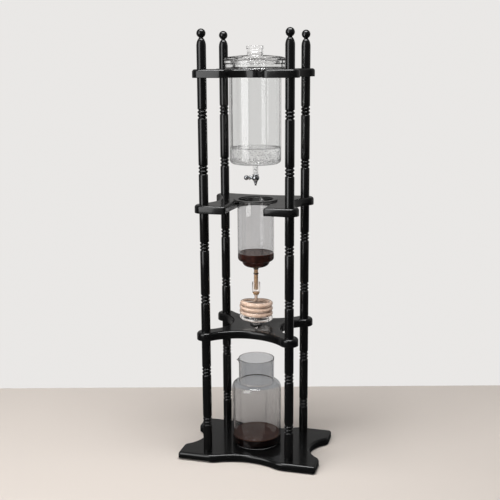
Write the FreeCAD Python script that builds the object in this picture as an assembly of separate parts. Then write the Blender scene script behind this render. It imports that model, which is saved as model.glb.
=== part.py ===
import FreeCAD, Part
import math
import os
from FreeCAD import Vector

# Cold drip coffee tower: a black wooden stand of four turned posts and four boards, with a glass
# water vessel and its needle tap, a grounds chamber, a glass cooling coil and a carafe, one above
# the other on the stand's middle axis. Units are millimetres. Z is up, the front faces -Y, and the
# origin is on the table under the middle of the base.

os.makedirs("parts", exist_ok=True)

# Stand
POST_PITCH_X = 235.0
POST_PITCH_Y = 198.0
POST_DIA = 25.0
STOREY_POST_LENGTH = 332.5
BASE_THICKNESS = 20.0
SHELF_THICKNESS = 22.0
PAD_HEIGHT = 3.0
PAD_DIA = 24.0
PAD_INSET = 28.0

# Turned rings on each post section
GROOVE_DEPTH = 1.9
GROOVE_WIDTH = 12.0
GROOVES_PER_GROUP = 1
GROUP_FROM_END = 92.8

# Finial: a shank that draws in to a neck under a ball
FINIAL_SHANK = 64.0
FINIAL_NECK_HEIGHT = 80.0
FINIAL_NECK_RADIUS = 5.2
FINIAL_BALL_RADIUS = 11.9
FINIAL_BALL_FACETS = 4

# Base outline
BASE_HALF_X = 198.0
BASE_HALF_Y = 130.0
BASE_FRONT_LAND = 94.0
BASE_FRONT_HOLLOW = 26.0
BASE_SIDE_LAND = 66.0
BASE_SIDE_HOLLOW = 38.0
BASE_FRONT_BLEND = 55.0
BASE_SIDE_BLEND = 20.0
BASE_EDGE = 5.0

# Shelf outlines
LOBE_RADIUS = 25.0
SHELF_EDGE = 7.0
STAR_FRONT_HOLLOW = 52.0
STAR_SIDE_HOLLOW = 69.5
BOARD_BACK_HOLLOW = 12.0
BOARD_SIDE_HOLLOW = 39.5
BOARD_BLOCK_X = 51.0
BOARD_FRONT_HOLLOW = 38.0

# Water vessel
VESSEL_RADIUS = 70.0
VESSEL_WALL = 2.6
VESSEL_HOLE_CLEARANCE = 1.5
COLLAR_RADIUS = 82.0
COLLAR_HEIGHT = 22.0
VESSEL_DEPTH = 253.0
VESSEL_CORNER = 12.0
VESSEL_FLOOR = 4.0
STEM_RADIUS = 7.3
STEM_BORE_RADIUS = 3.0
STEM_LENGTH = 34.5

# Lid
LID_THICKNESS = 13.5
LID_PLUG_DEPTH = 9.0
LID_PLUG_CLEARANCE = 1.0
LID_PLUG_WALL = 4.0
LID_KNOB_RADIUS = 23.3
LID_KNOB_WAIST = 18.0
LID_KNOB_HEIGHT = 24.0
LID_KNOB_DISC = 8.0

# Tap
TAP_BODY_RADIUS = 10.2
TAP_BODY_HEIGHT = 19.2
TAP_BODY_BAND = 7.0
TAP_SOCKET_WALL = 1.6
TAP_SOCKET_DEPTH = 4.5
TAP_SOCKET_CLEARANCE = 0.05
TAP_ARM_RADIUS = 4.4
TAP_ARM_REACH = 15.0
WATERWAY_RADIUS = 1.2
NEEDLE_RADIUS = 2.0
NEEDLE_CLEARANCE = 0.05
NEEDLE_TAPER_LENGTH = 4.0
NEEDLE_POINT_RADIUS = 0.5
GLAND_ACROSS_FLATS = 11.0
GLAND_LENGTH = 3.6
KNOB_BALL_RADIUS = 6.9
KNOB_BALL_FACETS = 4
KNOB_REACH = 26.0
KNOB_NECK_RADIUS = 3.2
KNOB_TO_GLAND = 1.0
KNOB_BORE_SHORT_OF_CENTRE = 2.5
KNOB_BORE_END_GAP = 0.3
TIP_TOP_RADIUS = 5.6
TIP_END_RADIUS = 2.6
TIP_LENGTH = 11.0

# Grounds chamber
CHAMBER_RADIUS = 50.3
CHAMBER_WALL = 2.2
CHAMBER_SLOT_CLEARANCE = 1.2
CHAMBER_FLANGE_RADIUS = 60.5
CHAMBER_FLANGE_HEIGHT = 4.5
CHAMBER_DEPTH = 164.0
CHAMBER_STEP_HEIGHT = 11.0
CHAMBER_CUP_RADIUS = 36.5
CHAMBER_CUP_DEPTH = 11.0
CHAMBER_CUP_FLOOR_RADIUS = 22.0
CHAMBER_STEM_RADIUS = 6.0
CHAMBER_STEM_BORE = 3.5
CHAMBER_STEM_LENGTH = 66.0
FILTER_THICKNESS = 5.0
FILTER_CLEARANCE = 0.3

# Cooling coil
COIL_OUTER_RADIUS = 47.0
COIL_TUBE_RADIUS = 6.6
COIL_PITCH = 14.0
COIL_FRONT_CROSSINGS = 4
COIL_LOWEST_ABOVE_SHELF = 23.6
COIL_START_ANGLE = 215.0
COIL_END_PAST_FRONT = 125.0
COIL_STEP_ANGLE = 180.0
LEAD_LAP_ANGLE = 4.0
COIL_SECTION_SIDES = 8
LEAD_RADIUS = 4.8
LEAD_BEND = 9.0
BELL_RADIUS = 11.2
BELL_WALL = 1.5
BELL_HEIGHT = 28.0
BELL_TAPER = 11.0
BELL_FLOOR = 3.0
BELL_STEM_OVERLAP = 20.0
OUTLET_COLLAR_RADIUS = 12.0
OUTLET_COLLAR_HEIGHT = 4.0
OUTLET_BELOW_SHELF = 12.0
OUTLET_BORE_RADIUS = 3.0
BUSH_RADIUS = 13.0
BUSH_FLANGE_RADIUS = 17.0
BUSH_FLANGE_HEIGHT = 2.0
BUSH_CLEARANCE = 0.3

# Carafe
CARAFE_RADIUS = 70.5
CARAFE_WALL = 2.4
CARAFE_BODY_HEIGHT = 175.0
CARAFE_SHOULDER_HEIGHT = 198.0
CARAFE_SHOULDER_FACETS = 3
CARAFE_NECK_RADIUS = 48.5
CARAFE_HEIGHT = 255.0
CARAFE_CORNER = 10.0
CARAFE_FLOOR = 5.0
CARAFE_LIP_RADIUS = 51.0
CARAFE_LIP_HEIGHT = 10.0
SPOUT_REACH = 58.5
SPOUT_DEPTH = 16.0
SPOUT_HALF_WIDTH = 15.0

# Cuts run this far past an open face
CUT_OVER = 1.0

# Levels and places that follow from the sizes above
BASE_TOP = PAD_HEIGHT + BASE_THICKNESS
LOWER_BOTTOM = BASE_TOP + STOREY_POST_LENGTH
LOWER_TOP = LOWER_BOTTOM + SHELF_THICKNESS
MIDDLE_BOTTOM = LOWER_TOP + STOREY_POST_LENGTH
MIDDLE_TOP = MIDDLE_BOTTOM + SHELF_THICKNESS
TOP_BOTTOM = MIDDLE_TOP + STOREY_POST_LENGTH
TOP_TOP = TOP_BOTTOM + SHELF_THICKNESS
POST_X = POST_PITCH_X / 2
POST_Y = POST_PITCH_Y / 2
BOARD_FRONT_Y = POST_Y + LOBE_RADIUS
RIM = TOP_TOP + COLLAR_HEIGHT
VESSEL_BOTTOM = TOP_TOP - VESSEL_DEPTH
STEM_END = VESSEL_BOTTOM - STEM_LENGTH
TAP_TOP = STEM_END + TAP_SOCKET_DEPTH
TAP_CENTRE = TAP_TOP - TAP_BODY_HEIGHT / 2
TIP_TOP = TAP_TOP - TAP_BODY_HEIGHT
CHAMBER_STEP_TOP = MIDDLE_TOP - CHAMBER_DEPTH
CHAMBER_CUP_TOP = CHAMBER_STEP_TOP - CHAMBER_STEP_HEIGHT
CHAMBER_BOTTOM = CHAMBER_CUP_TOP - CHAMBER_CUP_DEPTH
CHAMBER_STEM_END = CHAMBER_BOTTOM - CHAMBER_STEM_LENGTH
BELL_TOP = CHAMBER_STEM_END + BELL_STEM_OVERLAP
BELL_FOOT = BELL_TOP - BELL_HEIGHT - BELL_TAPER
OUTLET_SEAT = LOWER_TOP + BUSH_FLANGE_HEIGHT
OUTLET_COLLAR_TOP = OUTLET_SEAT + OUTLET_COLLAR_HEIGHT
COIL_CENTRE_RADIUS = COIL_OUTER_RADIUS - COIL_TUBE_RADIUS
COIL_LAST_FRONT = 270 + 360 * (COIL_FRONT_CROSSINGS - 1)
COIL_END_ANGLE = COIL_LAST_FRONT + COIL_END_PAST_FRONT

UP = Vector(0, 0, 1)
LEFT = Vector(-1, 0, 0)


def corners():
    """The four post places, by name."""
    places = []
    for depth_name, y in (("front", -POST_Y), ("back", POST_Y)):
        for side_name, x in (("left", -POST_X), ("right", POST_X)):
            places.append((depth_name + "_" + side_name, x, y))
    return places


def save(name, solids):
    """Write one node, as one solid or a group of separate solids."""
    shape = solids[0] if len(solids) == 1 else Part.makeCompound(solids)
    shape.exportStep("parts/" + name + ".step")


def disc(radius, height, x, y, z):
    """An upright cylinder standing on level z."""
    return Part.makeCylinder(radius, height, Vector(x, y, z), UP)


def turned(profile):
    """Revolve a closed profile of (radius, height) points about the upright axis."""
    points = [Vector(radius, 0, height) for radius, height in profile]
    return Part.Face(Part.makePolygon(points + points[:1])).revolve(Vector(0, 0, 0), UP, 360)


def ball_points(radius, centre, neck_radius, facets):
    """Profile of a turned ball from its neck round to its top, in straight facets."""
    first = -math.acos(neck_radius / radius)
    points = []
    for i in range(facets):
        angle = first + (math.pi / 2 - first) * i / facets
        points.append((radius * math.cos(angle), centre + radius * math.sin(angle)))
    points.append((0, centre + radius))
    return points


def foot_corner(radius, level, size):
    """A rounded foot corner in two facets, from the wall in to the floor."""
    inset = size * (1 - math.cos(math.pi / 4))
    return [(radius, level + size), (radius - inset, level + inset), (radius - size, level)]


def eased_top(solid, top, amount):
    """Break the upper rim of a board where its outer walls meet the top face."""
    for face in solid.Faces:
        if face.BoundBox.ZLength < amount and face.BoundBox.ZMax > top - amount:
            return solid.makeChamfer(amount, face.OuterWire.Edges)
    return solid


# Posts and finials

def post_section(x, y, bottom):
    """One turned section with a group of ring grooves near each end."""
    radius = POST_DIA / 2
    top = bottom + STOREY_POST_LENGTH
    profile = [(0, bottom), (radius, bottom)]
    for centre in (bottom + GROUP_FROM_END, top - GROUP_FROM_END):
        start = centre - GROOVES_PER_GROUP * GROOVE_WIDTH / 2
        profile.append((radius, start))
        for groove in range(GROOVES_PER_GROUP):
            edge = start + groove * GROOVE_WIDTH
            profile.append((radius - GROOVE_DEPTH, edge + GROOVE_WIDTH / 2))
            profile.append((radius, edge + GROOVE_WIDTH))
    section = turned(profile + [(radius, top), (0, top)])
    section.translate(Vector(x, y, 0))
    return section


def finial(x, y):
    """The post's end above the top board."""
    radius = POST_DIA / 2
    neck = TOP_TOP + FINIAL_NECK_HEIGHT
    ball_centre = neck + math.sqrt(FINIAL_BALL_RADIUS ** 2 - FINIAL_NECK_RADIUS ** 2)
    profile = [(0, TOP_TOP), (radius, TOP_TOP), (radius, TOP_TOP + FINIAL_SHANK)]
    ball = ball_points(FINIAL_BALL_RADIUS, ball_centre, FINIAL_NECK_RADIUS, FINIAL_BALL_FACETS)
    piece = turned(profile + ball)
    piece.translate(Vector(x, y, 0))
    return piece


def foot_pads():
    """Four thin pads under the base's broad corners."""
    pads = []
    for sx in (-1, 1):
        for sy in (-1, 1):
            pads.append(disc(PAD_DIA / 2, PAD_HEIGHT, sx * (BASE_HALF_X - PAD_INSET),
                             sy * (BASE_HALF_Y - PAD_INSET), 0))
    return pads


# Boards

def blended(board, x, y, radius):
    """Round the four upright edges of a board that lie x and y from its middle."""
    edges = []
    for edge in board.Edges:
        middle = edge.BoundBox.Center
        if edge.BoundBox.ZLength > radius / 10 and edge.BoundBox.XLength + edge.BoundBox.YLength < 1e-6:
            if abs(abs(middle.x) - x) < 1e-6 and abs(abs(middle.y) - y) < 1e-6:
                edges.append(edge)
    return board.makeFillet(radius, edges)


def base_plate():
    """The base: broad square corners with a hollow in each of the four sides."""
    bx, by = BASE_HALF_X, BASE_HALF_Y
    fx, sy = BASE_FRONT_LAND, BASE_SIDE_LAND
    z = PAD_HEIGHT
    deep_x = bx - BASE_SIDE_HOLLOW
    deep_y = by - BASE_FRONT_HOLLOW
    right = Part.Arc(Vector(bx, -sy, z), Vector(deep_x, 0, z), Vector(bx, sy, z))
    back = Part.Arc(Vector(fx, by, z), Vector(0, deep_y, z), Vector(-fx, by, z))
    left = Part.Arc(Vector(-bx, sy, z), Vector(-deep_x, 0, z), Vector(-bx, -sy, z))
    front = Part.Arc(Vector(-fx, -by, z), Vector(0, -deep_y, z), Vector(fx, -by, z))
    edges = [right.toShape(), Part.makePolygon([Vector(bx, sy, z), Vector(bx, by, z), Vector(fx, by, z)]),
             back.toShape(), Part.makePolygon([Vector(-fx, by, z), Vector(-bx, by, z), Vector(-bx, sy, z)]),
             left.toShape(), Part.makePolygon([Vector(-bx, -sy, z), Vector(-bx, -by, z), Vector(-fx, -by, z)]),
             front.toShape(), Part.makePolygon([Vector(fx, -by, z), Vector(bx, -by, z), Vector(bx, -sy, z)])]
    board = Part.Face(Part.Wire(edges)).extrude(Vector(0, 0, BASE_THICKNESS))
    board = blended(board, fx, by, BASE_FRONT_BLEND)
    board = blended(board, bx, sy, BASE_SIDE_BLEND)
    return eased_top(board, BASE_TOP, BASE_EDGE)


def hollow_between(first, second, outward, hollow):
    """The arc that hollows a board between two lobes, tangent to both.

    Its deepest point lies hollow inside the line that touches both lobes. Returns the start, the
    deepest point and the end.
    """
    middle = (first + second) * 0.5
    half = (second - first).Length / 2
    sink = hollow - LOBE_RADIUS
    radius = (half ** 2 - LOBE_RADIUS ** 2 + sink ** 2) / (2 * (LOBE_RADIUS + sink))
    centre = middle + outward * (radius - sink)
    start = first + (centre - first).normalize() * LOBE_RADIUS
    end = second + (centre - second).normalize() * LOBE_RADIUS
    return start, centre - outward * radius, end


def lobe_arc(centre, start, end, outward):
    """The lobe's arc from start to end, on its outward side."""
    return Part.Arc(start, centre + outward * LOBE_RADIUS, end).toShape()


def lobe_centres(z):
    """Post centres as front left, front right, back right, back left."""
    return [Vector(-POST_X, -POST_Y, z), Vector(POST_X, -POST_Y, z),
            Vector(POST_X, POST_Y, z), Vector(-POST_X, POST_Y, z)]


def star_board(z):
    """Four round lobes joined by hollows all round."""
    centres = lobe_centres(z)
    outwards = [Vector(0, -1, 0), Vector(1, 0, 0), Vector(0, 1, 0), Vector(-1, 0, 0)]
    depths = [STAR_FRONT_HOLLOW, STAR_SIDE_HOLLOW, STAR_FRONT_HOLLOW, STAR_SIDE_HOLLOW]
    hollows = []
    for i in range(4):
        hollows.append(hollow_between(centres[i], centres[(i + 1) % 4], outwards[i], depths[i]))
    edges = []
    for i in range(4):
        following = (i + 1) % 4
        edges.append(Part.Arc(*hollows[i]).toShape())
        outward = (outwards[i] + outwards[following]).normalize()
        edges.append(lobe_arc(centres[following], hollows[i][2], hollows[following][0], outward))
    return Part.Face(Part.Wire(edges)).extrude(Vector(0, 0, SHELF_THICKNESS))


def block_board(z, front_edges):
    """Round lobes at the posts, straight runs along the front, and hollows at the sides and back."""
    front_left, front_right, back_right, back_left = lobe_centres(z)
    right = hollow_between(front_right, back_right, Vector(1, 0, 0), BOARD_SIDE_HOLLOW)
    back = hollow_between(back_right, back_left, Vector(0, 1, 0), BOARD_BACK_HOLLOW)
    left = hollow_between(back_left, front_left, Vector(-1, 0, 0), BOARD_SIDE_HOLLOW)
    touch_right = Vector(POST_X, -BOARD_FRONT_Y, z)
    touch_left = Vector(-POST_X, -BOARD_FRONT_Y, z)
    right_way = (touch_right + right[0]) * 0.5 - front_right
    left_way = (touch_left + left[2]) * 0.5 - front_left
    edges = list(front_edges)
    edges.append(Part.makeLine(Vector(BOARD_BLOCK_X, -BOARD_FRONT_Y, z), touch_right))
    edges.append(lobe_arc(front_right, touch_right, right[0], right_way.normalize()))
    edges.append(Part.Arc(*right).toShape())
    edges.append(lobe_arc(back_right, right[2], back[0], Vector(1, 1, 0).normalize()))
    edges.append(Part.Arc(*back).toShape())
    edges.append(lobe_arc(back_left, back[2], left[0], Vector(-1, 1, 0).normalize()))
    edges.append(Part.Arc(*left).toShape())
    edges.append(lobe_arc(front_left, left[2], touch_left, left_way.normalize()))
    edges.append(Part.makeLine(touch_left, Vector(-BOARD_BLOCK_X, -BOARD_FRONT_Y, z)))
    return Part.Face(Part.Wire(edges)).extrude(Vector(0, 0, SHELF_THICKNESS))


def lower_shelf():
    """The coil's shelf, with a hole in the middle for the outlet bush."""
    board = eased_top(star_board(LOWER_BOTTOM), LOWER_TOP, SHELF_EDGE)
    return board.cut(disc(BUSH_RADIUS, SHELF_THICKNESS, 0, 0, LOWER_BOTTOM))


def middle_shelf():
    """The chamber's shelf: a slot open to the front, as wide as the chamber, with a round end."""
    z = MIDDLE_BOTTOM
    slot = CHAMBER_RADIUS + CHAMBER_SLOT_CLEARANCE
    front = [Part.makeLine(Vector(-BOARD_BLOCK_X, -BOARD_FRONT_Y, z), Vector(-slot, 0, z)),
             Part.Arc(Vector(-slot, 0, z), Vector(0, slot, z), Vector(slot, 0, z)).toShape(),
             Part.makeLine(Vector(slot, 0, z), Vector(BOARD_BLOCK_X, -BOARD_FRONT_Y, z))]
    return eased_top(block_board(z, front), MIDDLE_TOP, SHELF_EDGE)


def top_shelf():
    """The vessel's shelf: a round hole for the vessel and a hollow in the front edge."""
    z = TOP_BOTTOM
    front = [Part.Arc(Vector(-BOARD_BLOCK_X, -BOARD_FRONT_Y, z),
                      Vector(0, -BOARD_FRONT_Y + BOARD_FRONT_HOLLOW, z),
                      Vector(BOARD_BLOCK_X, -BOARD_FRONT_Y, z)).toShape()]
    board = eased_top(block_board(z, front), TOP_TOP, SHELF_EDGE)
    return board.cut(disc(VESSEL_RADIUS + VESSEL_HOLE_CLEARANCE, SHELF_THICKNESS, 0, 0, z))


# Water vessel and lid

def water_vessel():
    """A glass cylinder hung by its wide collar, with an outlet stem under the floor."""
    inner = VESSEL_RADIUS - VESSEL_WALL
    floor = VESSEL_BOTTOM + VESSEL_FLOOR
    inner_corner = VESSEL_CORNER - VESSEL_WALL
    outside = [(inner, RIM), (COLLAR_RADIUS, RIM), (COLLAR_RADIUS, TOP_TOP), (VESSEL_RADIUS, TOP_TOP)]
    outside += foot_corner(VESSEL_RADIUS, VESSEL_BOTTOM, VESSEL_CORNER)
    stem = [(STEM_RADIUS, VESSEL_BOTTOM), (STEM_RADIUS, STEM_END), (STEM_BORE_RADIUS, STEM_END),
            (STEM_BORE_RADIUS, floor)]
    return turned(outside + stem + [(inner - inner_corner, floor), (inner, floor + inner_corner)])


def vessel_lid():
    """A glass lid with a plug ring that centres it and a spool-shaped knob."""
    top = RIM + LID_THICKNESS
    plug = VESSEL_RADIUS - VESSEL_WALL - LID_PLUG_CLEARANCE
    plug_bottom = RIM - LID_PLUG_DEPTH
    knob_top = top + LID_KNOB_HEIGHT
    disc_bottom = knob_top - LID_KNOB_DISC
    return turned([
        (0, RIM), (plug - LID_PLUG_WALL, RIM), (plug - LID_PLUG_WALL, plug_bottom),
        (plug, plug_bottom), (plug, RIM), (COLLAR_RADIUS, RIM), (COLLAR_RADIUS, top),
        (LID_KNOB_WAIST, top), (LID_KNOB_WAIST, disc_bottom), (LID_KNOB_RADIUS, disc_bottom),
        (LID_KNOB_RADIUS, knob_top), (0, knob_top)])


# Tap

def along_left(profile):
    """Revolve a (radius, distance) profile and lay it along -X from the tap's centre."""
    piece = turned(profile)
    piece.rotate(Vector(0, 0, 0), Vector(0, 1, 0), -90)
    piece.translate(Vector(0, 0, TAP_CENTRE))
    return piece


def tap_body():
    """The chromed tap: a rounded body with a socket for the glass stem and an arm for the needle."""
    socket = STEM_RADIUS + TAP_SOCKET_CLEARANCE
    band = TAP_BODY_BAND / 2
    body = turned([
        (0, STEM_END), (socket, STEM_END), (socket, TAP_TOP), (socket + TAP_SOCKET_WALL, TAP_TOP),
        (TAP_BODY_RADIUS, TAP_CENTRE + band), (TAP_BODY_RADIUS, TAP_CENTRE - band),
        (TIP_TOP_RADIUS, TIP_TOP), (0, TIP_TOP)])
    centre = Vector(0, 0, TAP_CENTRE)
    arm = Part.makeCylinder(TAP_ARM_RADIUS, TAP_ARM_REACH, centre, LEFT)
    needle_hole = Part.makeCylinder(NEEDLE_RADIUS + NEEDLE_CLEARANCE, TAP_ARM_REACH, centre, LEFT)
    waterway = disc(WATERWAY_RADIUS, STEM_END - TIP_TOP, 0, 0, TIP_TOP)
    return body.fuse(arm).cut(needle_hole).cut(waterway)


def tap_gland():
    """The hexagonal gland on the arm's end that holds the needle's packing."""
    radius = GLAND_ACROSS_FLATS / math.sqrt(3)
    points = []
    for i in range(7):
        turn = math.radians(60 * i)
        points.append(Vector(-TAP_ARM_REACH, radius * math.cos(turn), TAP_CENTRE + radius * math.sin(turn)))
    bar = Part.Face(Part.makePolygon(points)).extrude(LEFT * GLAND_LENGTH)
    face = Vector(-TAP_ARM_REACH, 0, TAP_CENTRE)
    return bar.cut(Part.makeCylinder(NEEDLE_RADIUS + NEEDLE_CLEARANCE, GLAND_LENGTH, face, LEFT))


def tap_needle():
    """The needle: a tapered point that closes the waterway, and a stem out through the gland."""
    outer_end = KNOB_REACH - KNOB_BORE_SHORT_OF_CENTRE
    return along_left([
        (0, WATERWAY_RADIUS), (NEEDLE_POINT_RADIUS, WATERWAY_RADIUS),
        (NEEDLE_RADIUS, WATERWAY_RADIUS + NEEDLE_TAPER_LENGTH), (NEEDLE_RADIUS, outer_end),
        (0, outer_end)])


def tap_knob():
    """The ball knob with its neck, bored for the needle."""
    bore = NEEDLE_RADIUS + NEEDLE_CLEARANCE
    neck_start = TAP_ARM_REACH + GLAND_LENGTH + KNOB_TO_GLAND
    bore_end = KNOB_REACH - KNOB_BORE_SHORT_OF_CENTRE + KNOB_BORE_END_GAP
    ball = ball_points(KNOB_BALL_RADIUS, KNOB_REACH, KNOB_NECK_RADIUS, KNOB_BALL_FACETS)
    return along_left([(bore, neck_start), (KNOB_NECK_RADIUS, neck_start)] + ball
                      + [(0, bore_end), (bore, bore_end)])


def drip_tip():
    """The tapered outlet under the tap's body."""
    end = TIP_TOP - TIP_LENGTH
    return turned([(WATERWAY_RADIUS, end), (TIP_END_RADIUS, end), (TIP_TOP_RADIUS, TIP_TOP),
                   (WATERWAY_RADIUS, TIP_TOP)])


# Grounds chamber

def grounds_chamber():
    """A flanged glass cylinder that steps in to a small cup and an outlet stem."""
    flange_top = MIDDLE_TOP + CHAMBER_FLANGE_HEIGHT
    wall = CHAMBER_WALL
    inner = CHAMBER_RADIUS - wall
    floor = CHAMBER_BOTTOM + wall
    return turned([
        (inner, flange_top), (CHAMBER_FLANGE_RADIUS, flange_top), (CHAMBER_FLANGE_RADIUS, MIDDLE_TOP),
        (CHAMBER_RADIUS, MIDDLE_TOP), (CHAMBER_RADIUS, CHAMBER_STEP_TOP),
        (CHAMBER_CUP_RADIUS, CHAMBER_CUP_TOP), (CHAMBER_CUP_FLOOR_RADIUS, CHAMBER_BOTTOM),
        (CHAMBER_STEM_RADIUS, CHAMBER_BOTTOM), (CHAMBER_STEM_RADIUS, CHAMBER_STEM_END),
        (CHAMBER_STEM_BORE, CHAMBER_STEM_END), (CHAMBER_STEM_BORE, floor),
        (CHAMBER_CUP_FLOOR_RADIUS - wall, floor), (CHAMBER_CUP_RADIUS - wall, CHAMBER_CUP_TOP + wall),
        (inner, CHAMBER_STEP_TOP)])


def filter_disc():
    """The filter disc that lies on the step at the chamber's foot."""
    return disc(CHAMBER_RADIUS - CHAMBER_WALL - FILTER_CLEARANCE, FILTER_THICKNESS, 0, 0, CHAMBER_STEP_TOP)


# Cooling coil

def arc_from_tangent(start, tangent, end):
    """The arc from start to end that leaves start along tangent."""
    along = (end - start).normalize()
    lean = min(1, Vector(tangent).normalize().dot(along))
    bow = (end - start).Length / 2 * math.tan(math.acos(lean) / 2)
    across = (tangent - along * tangent.dot(along)).normalize()
    return Part.Arc(start, (start + end) * 0.5 + across * bow, end).toShape()


def coil_point(angle):
    """Point and direction of the coil's centre line, which falls as the angle grows."""
    radius = COIL_CENTRE_RADIUS
    level = LOWER_TOP + COIL_LOWEST_ABOVE_SHELF + COIL_PITCH * (COIL_LAST_FRONT - angle) / 360
    turn = math.radians(angle)
    fall = -COIL_PITCH / (2 * math.pi)
    place = Vector(radius * math.cos(turn), radius * math.sin(turn), level)
    return place, Vector(-radius * math.sin(turn), radius * math.cos(turn), fall).normalize()


def coil_arcs():
    """The coil's centre line as pairs of tangent arcs, each pair half a turn or less."""
    span = COIL_END_ANGLE - COIL_START_ANGLE
    steps = math.ceil(span / COIL_STEP_ANGLE)
    arcs = []
    for i in range(steps):
        first, first_way = coil_point(COIL_START_ANGLE + span * i / steps)
        last, last_way = coil_point(COIL_START_ANGLE + span * (i + 1) / steps)
        chord = last - first
        both = chord.dot(first_way + last_way)
        spread = 2 * (1 - first_way.dot(last_way))
        reach = (math.sqrt(both ** 2 + spread * chord.dot(chord)) - both) / spread
        joint = (first + last + (first_way - last_way) * reach) * 0.5
        arcs.append(arc_from_tangent(first, first_way, joint))
        arcs.append(arc_from_tangent(last, last_way * -1, joint))
    return arcs


def swept(arcs, start, way, radius):
    """A solid bar of many-sided section along arcs."""
    side = Vector(1, 0, 0).cross(way).normalize()
    other = way.cross(side).normalize()
    ring = []
    for i in range(COIL_SECTION_SIDES + 1):
        turn = 2 * math.pi * i / COIL_SECTION_SIDES
        ring.append(start + side * (radius * math.cos(turn)) + other * (radius * math.sin(turn)))
    spine = Part.Wire(Part.__sortEdges__(arcs))
    return spine.makePipeShell([Part.makePolygon(ring)], True, False)


def lead(merge_angle, hand, level, far_level):
    """A lead between the coil's axis and the coil: upright, a bend, and an arc that joins the coil.

    hand is 1 where the lead leaves the axis before its merge angle, and -1 where it leaves after.
    """
    small = (COIL_CENTRE_RADIUS ** 2 - LEAD_BEND ** 2) / (2 * COIL_CENTRE_RADIUS)
    lean = math.atan2(small, LEAD_BEND)
    turn = math.radians(merge_angle) - hand * lean
    outward = Vector(math.cos(turn), math.sin(turn), 0)
    merge = coil_point(merge_angle)[0]
    bend_end = outward * LEAD_BEND + Vector(0, 0, level)
    rise = math.copysign(1, far_level - level)
    bend_start = Vector(0, 0, level + rise * LEAD_BEND)
    far = Vector(0, 0, far_level)
    centre = bend_end + UP.cross(outward) * (hand * small)
    through_way = (bend_end - centre) + (merge - centre) + outward * (2 * small)
    edges = [Part.makeLine(far, bend_start),
             arc_from_tangent(bend_start, Vector(0, 0, -rise), bend_end),
             Part.Arc(bend_end, centre + through_way.normalize() * small, merge).toShape()]
    return swept(edges, far, Vector(0, 0, -rise), LEAD_RADIUS)


def condenser_coil():
    """The glass coil's four turns, with the leads that bring both ends back to the axis."""
    start, way = coil_point(COIL_START_ANGLE)
    turns = swept(coil_arcs(), start, way, COIL_TUBE_RADIUS)
    first = COIL_START_ANGLE + LEAD_LAP_ANGLE
    last = COIL_END_ANGLE - LEAD_LAP_ANGLE
    inlet = lead(first, 1, coil_point(first)[0].z, BELL_FOOT)
    outlet = lead(last, -1, coil_point(last)[0].z, OUTLET_COLLAR_TOP)
    return turns.fuse([inlet, outlet])


def coil_bell():
    """The open bell on top of the coil that takes the chamber's stem."""
    inner = BELL_RADIUS - BELL_WALL
    return turned([
        (0, BELL_FOOT), (LEAD_RADIUS, BELL_FOOT), (BELL_RADIUS, BELL_FOOT + BELL_TAPER),
        (BELL_RADIUS, BELL_TOP), (inner, BELL_TOP), (inner, BELL_FOOT + BELL_TAPER),
        (0, BELL_FOOT + BELL_FLOOR)])


def coil_outlet():
    """The coil's outlet leg, with the collar that it stands on."""
    end = LOWER_BOTTOM - OUTLET_BELOW_SHELF
    return turned([
        (OUTLET_BORE_RADIUS, end), (LEAD_RADIUS, end), (LEAD_RADIUS, OUTLET_SEAT),
        (OUTLET_COLLAR_RADIUS, OUTLET_SEAT), (OUTLET_COLLAR_RADIUS, OUTLET_COLLAR_TOP),
        (OUTLET_BORE_RADIUS, OUTLET_COLLAR_TOP)])


def coil_bush():
    """The silicone bush in the lower shelf that the coil's outlet stands in."""
    bore = LEAD_RADIUS + BUSH_CLEARANCE
    return turned([
        (bore, LOWER_BOTTOM), (BUSH_RADIUS, LOWER_BOTTOM), (BUSH_RADIUS, LOWER_TOP),
        (BUSH_FLANGE_RADIUS, LOWER_TOP), (BUSH_FLANGE_RADIUS, OUTLET_SEAT), (bore, OUTLET_SEAT)])


def coil_self_gap():
    """The least distance between parts of the coil's tube that are over a quarter turn apart."""
    step = 6
    count = int((COIL_END_ANGLE - COIL_START_ANGLE) / step)
    places = [coil_point(COIL_START_ANGLE + step * i)[0] for i in range(count + 1)]
    apart = 90 // step
    least = min((places[i] - places[j]).Length
                for i in range(count + 1) for j in range(i + apart, count + 1))
    return least - 2 * COIL_TUBE_RADIUS


# Carafe

def shoulder(inset):
    """Profile of the carafe's rounded shoulder, from the body up to the neck, drawn in by inset."""
    across = CARAFE_RADIUS - CARAFE_NECK_RADIUS
    rise = CARAFE_SHOULDER_HEIGHT - CARAFE_BODY_HEIGHT - inset
    points = []
    for i in range(CARAFE_SHOULDER_FACETS + 1):
        turn = math.pi / 2 * i / CARAFE_SHOULDER_FACETS
        points.append((CARAFE_RADIUS - inset - across * (1 - math.cos(turn)),
                       BASE_TOP + CARAFE_BODY_HEIGHT + rise * math.sin(turn)))
    return points


def spout(inset):
    """A three-sided beak that runs down into the neck, drawn in by inset."""
    top = BASE_TOP + CARAFE_HEIGHT + (CUT_OVER if inset else 0)
    half = SPOUT_HALF_WIDTH - inset
    root = -math.sqrt(CARAFE_NECK_RADIUS ** 2 - SPOUT_HALF_WIDTH ** 2) + 2 * inset
    tip = Vector(-SPOUT_REACH + 2 * inset, 0, top)
    near = Vector(root, -half, top)
    far = Vector(root, half, top)
    foot = Vector(-CARAFE_NECK_RADIUS + 2 * inset, 0, top - SPOUT_DEPTH)
    sides = [(tip, near, far), (tip, near, foot), (tip, far, foot), (near, far, foot)]
    faces = [Part.Face(Part.makePolygon([a, b, c, a])) for a, b, c in sides]
    return Part.Solid(Part.Shell(faces))


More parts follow.
